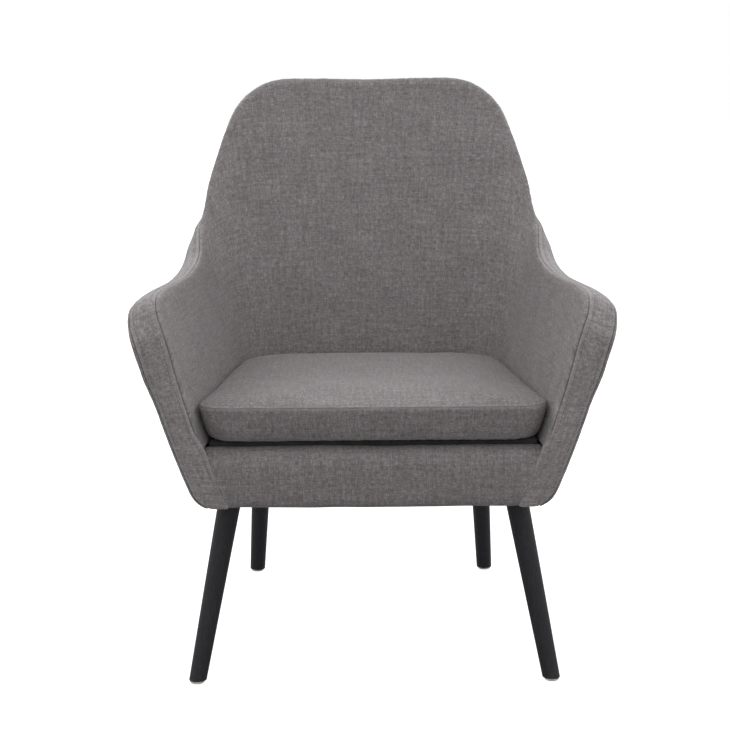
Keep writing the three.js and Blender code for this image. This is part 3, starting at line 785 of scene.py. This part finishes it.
# Rings of the deck as share of its plan and height in mm, from the middle of its underside, down
# round the skirt and over the edge to the middle of its top
DECK_RINGS = [
    (0.25, 0.4), (0.6, 0.3), (0.9, 0.1), (0.975, 0), (0.986, -1), (0.99, -3.9), (1, -3.9), (1, 0),
    (1, 6.5), (0.994, 8.6), (0.98, 9.5), (0.93, 9.6), (0.85, 9.4), (0.65, 9.0), (0.45, 8.8),
    (0.25, 8.7),
]
DECK_HEIGHT = 10 * MM


def add_deck(lining):
    trail = station_trail(12.0, DECK_FRONT, 1.0 * MM, 96)
    front = np.linspace(trail[-1], trail[0], 40)[1:-1]
    outline = np.vstack([trail, front])[:, :2]
    middle = outline.mean(axis=0)
    rings, cloth = [], []
    for scale, above in DECK_RINGS:
        place = middle + (outline - middle) * scale
        z = deck_height(place[:, 1]) + DECK_TOP - DECK_HEIGHT + above * MM
        rings.append(np.column_stack([place, z]))
        cloth.append(np.column_stack([place, np.full(len(place), (1 - scale) * 0.2)]))
    points, faces = capped_loft(rings)
    shape = points, faces, np.vstack([*cloth, [[*middle, 0.2]], [[*middle, 0.2]]])
    piece = make_pad("seat_deck", shape, levels=1, swell=0.6 * MM, pucker=0.2 * MM, seed=19)
    finish_piece(piece, lining, "chair", ["seat_deck_pad"])


DUST_COVER_IN = 16 * MM  # depth of the dust cover's edge in the wall
DUST_COVER_LEVEL = 276.9 * MM  # its top, round the edge
DUST_COVER_SAG = 3.2 * MM
DUST_COVER_THICK = 0.5 * MM
BY_LEGS = 70 * MM  # nearer than this to a leg the dust cover doesn't sag


def add_dust_cover(cloth_finish, steel):
    trail = station_trail(12.2, SHELL_BOTTOM, DUST_COVER_IN, 121)
    front, back = trail[0, 1], trail[:, 1].max()
    right = trail[len(trail) // 2:]
    order = np.argsort(right[:, 1])
    columns, rows = 44, 46  # the rows lie closer together towards the rounded back
    y = front + (back - 0.2 * MM - front) * (1 - (1 - np.linspace(0, 1, rows)) ** 1.6)
    half = np.interp(y, right[order, 1], right[order, 0])
    half[-1] = max(half[-1], 60 * MM)
    x = half[:, None] * np.linspace(-1, 1, columns)[None, :]
    yy = np.repeat(y[:, None], columns, axis=1)
    edge = np.minimum(half[:, None] - np.abs(x), np.minimum(yy - front, back - yy))
    flat = np.stack([x.ravel(), yy.ravel(), np.zeros(x.size)], axis=1)
    crease = ripple(flat, 50 * MM, 23).reshape(x.shape) * 0.5 * MM * smoothstep(edge, 5 * MM, 60 * MM)
    z = DUST_COVER_LEVEL - DUST_COVER_SAG * smoothstep(edge, 0, 120 * MM) + crease
    for place in ("front", "rear"):
        for side in ("left", "right"):
            leg = middle_of(f"leg_{place}_{side}")
            near = np.hypot(x - leg[0], yy - leg[1]) < BY_LEGS
            z = np.where(near, np.maximum(z, DUST_COVER_LEVEL - 0.05 * MM), z)
    top = np.stack([x, yy, z], axis=-1).reshape(-1, 3)
    numbers = np.arange(x.size).reshape(x.shape)
    rim = np.concatenate([numbers[0, :-1], numbers[:-1, -1], numbers[-1, :0:-1], numbers[:0:-1, 0]])
    wall = [(a, b, b + x.size, a + x.size) for a, b in zip(rim, np.roll(rim, -1))]
    faces = grid_faces(numbers) + grid_faces(numbers + x.size) + wall
    points = np.vstack([top, top - (0, 0, DUST_COVER_THICK)])
    cloth = np.tile(np.column_stack([x.ravel(), yy.ravel(), edge.ravel()]), (2, 1))
    piece = sewn_piece("dust_cover_cloth", (points, faces, cloth))
    finish_piece(piece, cloth_finish, "chair", ["dust_cover"])
    add_staples(trail, steel)


STAPLES_IN = 10 * MM  # depth of the row of staples in the wall
STAPLE_WIRE = 0.45 * MM  # half the thickness of the wire
STAPLE_HALF = 5.5 * MM
STAPLE_LEG = 1.2 * MM


def add_staples(trail, steel):
    """Wire staples that hold the dust cover round its edge."""
    inward = station_trail(12.2, SHELL_BOTTOM, STAPLES_IN, len(trail))
    level = DUST_COVER_LEVEL - 1 * MM
    half = [(-STAPLE_HALF, STAPLE_LEG), (-STAPLE_HALF, 0.3 * MM), (-STAPLE_HALF * 0.86, 0)]
    wire = half + [(-reach, up) for reach, up in reversed(half)]
    corners = ((-1, -1), (1, -1), (1, 1), (-1, 1))
    vertices, faces = [], []
    for number in range(4, len(trail) - 4, 4):
        run = Vector(trail[number + 1] - trail[number - 1]).normalized()
        side = Vector((-run.y, run.x, 0))
        spot = Vector((*inward[number][:2], level))
        rings = [
            [
                spot + run * reach + side * (a * STAPLE_WIRE) + Vector((0, 0, up + b * STAPLE_WIRE))
                for a, b in corners
            ]
            for reach, up in wire
        ]
        add_tube(vertices, faces, rings)
    piece = new_object("dust_cover_staples", vertices, faces)
    face_out(piece)
    finish_piece(piece, steel, "chair")


HEM_SECTION = [  # depth from the wall's inner face and height, in mm
    (12, 277.1), (12, 277.7), (20, 277.75), (28, 277.75), (33.6, 277.7), (33.6, 276.9), (28, 276.8),
    (20, 276.85),
]


def add_hem(fabric):
    """The covers' lower edge, turned under the frame all round the back and sides."""
    rings = np.array([station_trail(12.6, SHELL_BOTTOM, depth * MM, 127) for depth, _ in HEM_SECTION])
    rings[..., 2] = np.array(HEM_SECTION)[:, 1:] * MM
    points, faces = capped_loft(list(rings.transpose(1, 0, 2)))
    cloth = np.column_stack([points[:, 0] + points[:, 1], points[:, 2], np.full(len(points), 0.02)])
    finish_piece(sewn_piece("turned_hem", (points, faces, cloth)), fabric, "chair")


# ---------------- shader helpers
class Shader:
    """Makes the nodes of one material and links them."""

    def __init__(self, name):
        self.material = bpy.data.materials.new(name)
        self.material.use_nodes = True
        self.tree = self.material.node_tree
        self.tree.nodes.clear()
        self.output = self.tree.nodes.new("ShaderNodeOutputMaterial")
        self.surface = self.tree.nodes.new("ShaderNodeBsdfPrincipled")
        self.tree.links.new(self.surface.outputs[0], self.output.inputs["Surface"])

    def put(self, socket, value):
        """Links a socket, or sets a plain value, and leaves the default where there is none."""
        if isinstance(value, bpy.types.NodeSocket):
            self.tree.links.new(value, socket)
        elif value is not None:
            socket.default_value = value

    def node(self, kind, inputs=(), **settings):
        node = self.tree.nodes.new(kind)
        for key, value in settings.items():
            setattr(node, key, value)
        for key, value in dict(inputs).items():
            self.put(node.inputs[key], value)
        return node

    def math(self, operation, a, b=None):
        node = self.node("ShaderNodeMath", operation=operation)
        self.put(node.inputs[0], a)
        self.put(node.inputs[1], b)
        return node.outputs[0]

    def plus(self, a, b):
        return self.math("ADD", a, b)

    def times(self, a, b):
        return self.math("MULTIPLY", a, b)

    def position(self):
        return self.node("ShaderNodeNewGeometry").outputs["Position"]

    def parts(self, vector):
        return self.node("ShaderNodeSeparateXYZ", {0: vector}).outputs

    def scaled(self, vector, scale):
        node = self.node("ShaderNodeVectorMath", operation="MULTIPLY")
        self.put(node.inputs[0], vector)
        node.inputs[1].default_value = scale
        return node.outputs[0]

    def noise(self, vector, scale, detail=2.0, roughness=0.5):
        inputs = {"Vector": vector, "Scale": scale, "Detail": detail, "Roughness": roughness}
        return self.node("ShaderNodeTexNoise", inputs).outputs["Fac"]

    def remap(self, value, low, high, to_low=0.0, to_high=1.0):
        inputs = {"Value": value, "From Min": low, "From Max": high, "To Min": to_low, "To Max": to_high}
        return self.node("ShaderNodeMapRange", inputs).outputs[0]

    def ramp(self, value, stops):
        node = self.node("ShaderNodeValToRGB", {"Fac": value})
        while len(node.color_ramp.elements) < len(stops):
            node.color_ramp.elements.new(0.5)
        for element, (place, colour) in zip(node.color_ramp.elements, stops):
            element.position = place
            element.color = (*colour, 1)
        return node.outputs["Color"]

    def mix(self, factor, a, b, blend="MIX"):
        node = self.node("ShaderNodeMix", data_type="RGBA", blend_type=blend)
        self.put(node.inputs[0], factor)
        for socket, value in ((node.inputs[6], a), (node.inputs[7], b)):
            self.put(socket, (*value, 1) if isinstance(value, tuple) else value)
        return node.outputs[2]

    def bump(self, height, distance, strength=1.0):
        node = self.node("ShaderNodeBump", {"Height": height, "Distance": distance, "Strength": strength})
        self.put(self.surface.inputs["Normal"], node.outputs[0])

    def set(self, **values):
        for name, value in values.items():
            self.put(self.surface.inputs[name.replace("_", " ")], value)

    def finished(self, colour, roughness, **values):
        self.set(Base_Color=colour, Roughness=roughness, **values)
        return self.material


def cloth_place(shader):
    """u, v and seam distance of the cloth, from the attribute that each sewn piece stores."""
    attribute = shader.node("ShaderNodeAttribute", attribute_name="cloth")
    place = attribute.outputs["Vector"]
    return place, *shader.parts(place)


# ---------------- materials
YARN = 1.15 * MM  # pitch of the weave
YARN_WANDER = 0.9 * MM
FABRIC_TONE = 1.07  # overall lightness of the cloth
FABRIC_TINT = (1.0, 0.925, 0.93)
# Noise value and lightness, from dark to light yarns
YARN_TONES = [(0.28, 0.105), (0.42, 0.156), (0.52, 0.200), (0.62, 0.252), (0.76, 0.370)]


def woven_fabric():
    """Linen-look melange: light, middle and dark yarns with slubs, woven one over one."""
    s = Shader("woven_fabric")
    place, u, v, seam = cloth_place(s)
    flat = s.node("ShaderNodeCombineXYZ", {0: u, 1: v}).outputs[0]
    wander = s.times(s.math("SUBTRACT", s.noise(flat, 60, 1.0), 0.5), YARN_WANDER)
    u = s.plus(u, wander)
    v = s.plus(v, wander)
    flat = s.node("ShaderNodeCombineXYZ", {0: u, 1: v}).outputs[0]

    def yarn(across, along, lengthwise, offset):
        """Tone that changes from yarn to yarn and slowly along each one."""
        scale = (1 / across, 1 / along, 1) if lengthwise else (1 / along, 1 / across, 1)
        moved = s.node("ShaderNodeVectorMath", {1: (offset, offset * 0.7, 0)}, operation="ADD")
        s.put(moved.inputs[0], s.scaled(flat, scale))
        return s.noise(moved.outputs[0], 1.0, 2.0, 0.55)

    warp = yarn(1.5 * MM, 9 * MM, True, 3.1)
    weft = yarn(1.5 * MM, 7 * MM, False, 8.7)
    tones = [(stop, tuple(FABRIC_TONE * tint * tone for tint in FABRIC_TINT)) for stop, tone in YARN_TONES]
    warp_colour = s.ramp(warp, tones)
    weft_colour = s.ramp(weft, tones)
    turn = math.pi / YARN
    a = s.math("SINE", s.times(u, turn))
    b = s.math("SINE", s.times(v, turn))
    over = s.remap(s.times(a, b), -0.35, 0.35)
    colour = s.mix(over, weft_colour, warp_colour)
    warp_round = s.math("SQRT", s.math("ABSOLUTE", a))
    weft_round = s.math("SQRT", s.math("ABSOLUTE", b))
    height = s.plus(s.times(warp_round, over), s.times(weft_round, s.math("SUBTRACT", 1.0, over)))
    # painted shade: the low flanks of the yarns, where they dip under each other, are darkened as if
    # shaded; slubs, mottle and blotch below are the yarns' own tone
    yarn_tone_and_painted_light = s.remap(height, 0.2, 0.95, 0.7, 1.04)
    slubs = s.plus(yarn(4.5 * MM, 60 * MM, True, 1.3), yarn(4.5 * MM, 48 * MM, False, 5.9))
    yarn_tone_and_painted_light = s.times(yarn_tone_and_painted_light, s.remap(slubs, 0.75, 1.25, 0.84, 1.16))
    mottle = s.remap(s.noise(flat, 1 / (7 * MM), 3.0, 0.7), 0.3, 0.7, 0.86, 1.14)
    blotch = s.remap(s.noise(flat, 16, 3.0, 0.6), 0.3, 0.7, 0.95, 1.05)
    # painted light: the edge band's stored lift brightens its colour, in place of the light on it
    painted_light = s.node("ShaderNodeAttribute", attribute_name="painted_light").outputs["Fac"]
    yarn_tone_and_painted_light = s.times(yarn_tone_and_painted_light, s.times(mottle, blotch))
    yarn_tone_and_painted_light = s.times(yarn_tone_and_painted_light, s.plus(painted_light, 1.0))
    yarn_tone_and_painted_light = s.node("ShaderNodeCombineColor", {0: yarn_tone_and_painted_light, 1: yarn_tone_and_painted_light, 2: yarn_tone_and_painted_light}).outputs[0]
    colour = s.mix(1.0, colour, yarn_tone_and_painted_light, "MULTIPLY")
    warmth = s.remap(s.noise(flat, 28, 2.0), 0.35, 0.65)
    colour = s.mix(1.0, colour, s.mix(warmth, (0.99, 1.0, 1.01), (1.012, 0.996, 0.993)), "MULTIPLY")
    rub = s.times(s.remap(seam, 1 * MM, 8 * MM, 0.3, 0.0), s.noise(flat, 240, 2.0))
    colour = s.mix(rub, colour, (0.42, 0.40, 0.40))
    fuzz = s.noise(place, 2600, 2.0)
    slub = s.plus(s.times(warp, 0.8), s.times(weft, 0.8))
    relief = s.plus(s.plus(height, slub), s.times(fuzz, 0.3))
    s.bump(relief, 0.25 * MM, 0.8)
    s.set(Sheen_Weight=0.2, Sheen_Roughness=0.25, Sheen_Tint=(0.96, 0.95, 0.97, 1))
    return s.finished(colour, 0.92, Specular_IOR_Level=0.2)


def thread_finish():
    s = Shader("sewing_thread")
    place = s.position()
    twist = s.noise(place, 2200, 1.0)
    colour = s.ramp(twist, [(0.3, (0.07, 0.065, 0.066)), (0.7, (0.15, 0.14, 0.142))])
    s.bump(twist, 0.1 * MM)
    return s.finished(colour, 0.7, Sheen_Weight=0.2)


def felt_lining():
    s = Shader("deck_lining")
    place = cloth_place(s)[0]
    fibres = s.noise(place, 900, 4.0, 0.7)
    clouds = s.remap(s.noise(place, 45, 4.0, 0.65), 0.3, 0.7)
    dark = s.ramp(fibres, [(0.3, (0.010, 0.010, 0.011)), (0.7, (0.034, 0.033, 0.035))])
    light = s.ramp(fibres, [(0.3, (0.020, 0.020, 0.021)), (0.7, (0.062, 0.060, 0.063))])
    colour = s.mix(clouds, dark, light)
    s.bump(fibres, 0.5 * MM)
    return s.finished(colour, 0.95, Sheen_Weight=0.1)


def spunbond_cloth():
    """Black non-woven cloth with its grid of small bonded points."""
    s = Shader("spunbond_cloth")
    place = cloth_place(s)[0]
    pitch = 1.6 * MM
    dots = s.node("ShaderNodeTexVoronoi", {"Vector": place, "Scale": 1 / pitch, "Randomness": 0.25})
    bond = s.remap(dots.outputs["Distance"], 0.18, 0.34)
    fibres = s.noise(place, 700, 4.0, 0.75)
    stops = [(0.0, (0.006, 0.006, 0.007)), (0.8, (0.028, 0.028, 0.031))]
    colour = s.ramp(s.times(bond, fibres), stops)
    s.bump(s.plus(bond, fibres), 0.2 * MM)
    return s.finished(colour, 0.8, Sheen_Weight=0.1)


def stained_wood():
    """Beech under a near-black stain: fine grain along the leg, slightly rubbed ends."""
    s = Shader("stained_wood")
    place = s.position()
    parts = s.parts(place)
    grain = s.noise(s.scaled(place, (420, 420, 16)), 1.0, 4.0, 0.6)
    flecks = s.noise(s.scaled(place, (1500, 1500, 110)), 1.0, 2.0)
    low = s.remap(parts[2], 4 * MM, 22 * MM, 0.5, 0.0)
    rub = s.times(low, s.remap(s.noise(place, 160, 3.0), 0.45, 0.7))
    colour = s.ramp(grain, [(0.3, (0.0100, 0.0090, 0.0115)), (0.55, (0.0160, 0.0145, 0.0185)),
                            (0.75, (0.0260, 0.0236, 0.0290))])
    colour = s.mix(rub, colour, (0.060, 0.050, 0.045))
    pores = s.plus(s.times(grain, 0.6), s.times(flecks, 0.4))
    s.bump(pores, 0.12 * MM, 0.8)
    roughness = s.remap(flecks, 0.3, 0.7, 0.42, 0.58)
    return s.finished(colour, roughness, Coat_Weight=0.05, Coat_Roughness=0.4, Specular_IOR_Level=0.28)


def bare_wood(name, dark, light, across, along):
    s = Shader(name)
    place = s.position()
    bands = s.noise(s.scaled(place, (along, across * 0.3, across)), 1.0, 4.0, 0.6)
    pores = s.noise(s.scaled(place, (90, 700, 900)), 1.0, 2.0)
    colour = s.ramp(bands, [(0.3, dark), (0.7, light)])
    colour = s.mix(s.remap(pores, 0.6, 0.75, 0.0, 0.5), colour, tuple(0.5 * c for c in dark))
    s.bump(s.plus(bands, pores), 0.15 * MM)
    return s.finished(colour, 0.75)


def elastic_webbing():
    s = Shader("elastic_webbing")
    place = s.position()
    parts = s.parts(place)
    turn = 2 * math.pi / (2.2 * MM)
    ribs = s.times(s.math("SINE", s.times(parts[0], turn)), s.math("SINE", s.times(parts[1], turn)))
    fibres = s.noise(place, 900, 2.0)
    colour = s.ramp(s.remap(ribs, -1, 1), [(0.0, (0.008, 0.008, 0.009)), (1.0, (0.035, 0.034, 0.036))])
    s.bump(s.plus(ribs, fibres), 0.25 * MM)
    return s.finished(colour, 0.8)


def zinc_steel():
    s = Shader("zinc_steel")
    place = s.position()
    spangle = s.noise(place, 420, 3.0)
    colour = s.ramp(spangle, [(0.3, (0.46, 0.47, 0.48)), (0.7, (0.70, 0.71, 0.72))])
    s.bump(spangle, 0.05 * MM)
    return s.finished(colour, s.remap(spangle, 0.3, 0.7, 0.3, 0.5), Metallic=1.0)


def pale_plastic():
    s = Shader("pale_plastic")
    place = s.position()
    grain = s.noise(place, 1500, 2.0)
    scuff = s.noise(s.scaled(place, (300, 90, 300)), 1.0, 3.0)
    colour = s.ramp(scuff, [(0.35, (0.58, 0.56, 0.53)), (0.7, (0.74, 0.73, 0.70))])
    s.bump(grain, 0.06 * MM)
    return s.finished(colour, s.remap(scuff, 0.3, 0.7, 0.4, 0.6))


def finish_cad_nodes(finishes):
    """The hard parts keep their CAD shape and get a finer finish, by the record's slots."""
    for part in frame["record"]["subparts"]:
        node = NODES[part["node"]]
        finish = finishes.get(part["material_slot"])
        if finish is not None:
            node.data.materials.clear()
            node.data.materials.append(finish)


# ---------------- studio
FLOOR_HALF = 9
FLOOR_GLOW = 0.95  # what the camera sees of the floor, nearly white
WORLD_LIGHT, WORLD_SEEN = 0.93, 1.0
LIT_POINT = Vector((0, 0, 0.5))


def add_floor():
    corners = [(-1, -1), (1, -1), (1, 1), (-1, 1)]
    vertices = [(FLOOR_HALF * x, FLOOR_HALF * y, 0) for x, y in corners]
    floor = new_object("studio_floor", vertices, [(0, 1, 2, 3)])
    s = Shader("studio_floor")
    seen = s.node("ShaderNodeLightPath").outputs["Is Camera Ray"]
    s.set(Base_Color=(0.3, 0.3, 0.3, 1), Roughness=0.9, Emission_Color=(1, 1, 1, 1))
    s.set(Emission_Strength=s.times(seen, FLOOR_GLOW))
    floor.data.materials.append(s.material)


def add_lights():
    world = bpy.data.worlds.new("studio")
    bpy.context.scene.world = world
    world.use_nodes = True
    tree = world.node_tree
    tree.nodes.clear()
    output = tree.nodes.new("ShaderNodeOutputWorld")
    mix = tree.nodes.new("ShaderNodeMixShader")
    path = tree.nodes.new("ShaderNodeLightPath")
    for slot, strength in ((1, WORLD_LIGHT), (2, WORLD_SEEN)):
        background = tree.nodes.new("ShaderNodeBackground")
        background.inputs["Strength"].default_value = strength
        background.inputs["Color"].default_value = (1, 1, 1, 1)
        tree.links.new(background.outputs[0], mix.inputs[slot])
    tree.links.new(path.outputs["Is Camera Ray"], mix.inputs[0])
    tree.links.new(mix.outputs[0], output.inputs[0])

    for side in (-1, 1):
        add_panel(f"overhead_{side}", (side * 1.8, 0.0, 2.4), size=1.5, watts=17)
        add_panel(f"rim_{side}", (side * 1.7, 2.0, 1.45), size=1.2, watts=32)


def add_panel(name, place, size, watts):
    """A square light panel that faces the seat."""
    light = bpy.data.lights.new(name, "AREA")
    light.size = size
    light.energy = watts
    lamp = bpy.data.objects.new(name, light)
    lamp.location = place
    lamp.rotation_euler = (Vector(place) - LIT_POINT).to_track_quat("Z", "Y").to_euler()
    bpy.context.scene.collection.objects.link(lamp)


CAMERA_LENS, CAMERA_SENSOR = 98.6, 36  # mm
CAMERA_TURN, CAMERA_PITCH, CAMERA_ROLL = (math.radians(angle) for angle in (0.35, 12.02, -0.38))
CAMERA_PLACE = Vector((-0.0096, -3.16, 1.0945))  # from the floor under the middle of the seat


def add_camera():
    scene = bpy.context.scene
    scene.view_settings.view_transform = "Standard"
    camera = bpy.data.cameras.new("camera")
    camera.sensor_width = CAMERA_SENSOR
    camera.lens = CAMERA_LENS
    holder = bpy.data.objects.new("camera", camera)
    scene.collection.objects.link(holder)
    turned = Matrix.Rotation(-CAMERA_TURN, 3, "Z")
    holder.location = Vector((0, FRONT_LINE + 350 * MM, 0)) + turned @ CAMERA_PLACE
    look = turned @ Matrix.Rotation(math.pi / 2 - CAMERA_PITCH, 3, "X")
    holder.rotation_euler = (look @ Matrix.Rotation(CAMERA_ROLL, 3, "Z")).to_euler()
    scene.camera = holder


# ---------------- build
def build():
    fabric = woven_fabric()
    thread = thread_finish()
    steel = zinc_steel()
    add_inner_cover(fabric)
    add_outer_cover(fabric)
    band = add_edge_band(fabric)
    add_band_stitches(band, thread)
    add_apron(fabric)
    add_cushion(fabric, thread)
    add_deck(felt_lining())
    add_hem(fabric)
    add_dust_cover(spunbond_cloth(), steel)
    finish_cad_nodes({
        "plywood": bare_wood("plywood", (0.40, 0.24, 0.12), (0.58, 0.40, 0.22), 160, 12),
        "frame_timber": bare_wood("frame_timber", (0.48, 0.33, 0.18), (0.66, 0.50, 0.31), 90, 7),
        "webbing": elastic_webbing(),
        "stained_wood": stained_wood(),
        "zinc_steel": steel,
        "pale_plastic": pale_plastic(),
    })
    add_floor()
    add_lights()
    add_camera()


build()
